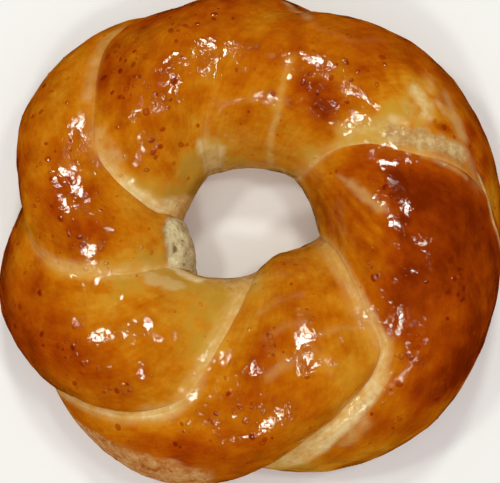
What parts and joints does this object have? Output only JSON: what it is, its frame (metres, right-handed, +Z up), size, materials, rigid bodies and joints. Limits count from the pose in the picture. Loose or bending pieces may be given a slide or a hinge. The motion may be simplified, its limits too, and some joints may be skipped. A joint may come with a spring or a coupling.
{
  "type": "plain bun",
  "caption": "Ring-shaped bun of two ropes of dough twisted round each other and baked into one piece, flat underneath, with a hole through the middle.",
  "frame": {"origin": "on the table, under the middle of the bun's bounding box", "axes": "+Z up through the ring; +X to the right and +Y to the far side, as the bun is seen from above with the smooth stretch of the ring at the far side"},
  "size_m": [0.1236, 0.1208, 0.0393],
  "materials": {
    "crust": "egg-washed, baked crust: glossy and amber to red-brown on top, matt and pale underneath"
  },
  "bodies": {
    "root": {"bun": "crust"}
  },
  "joints": []
}
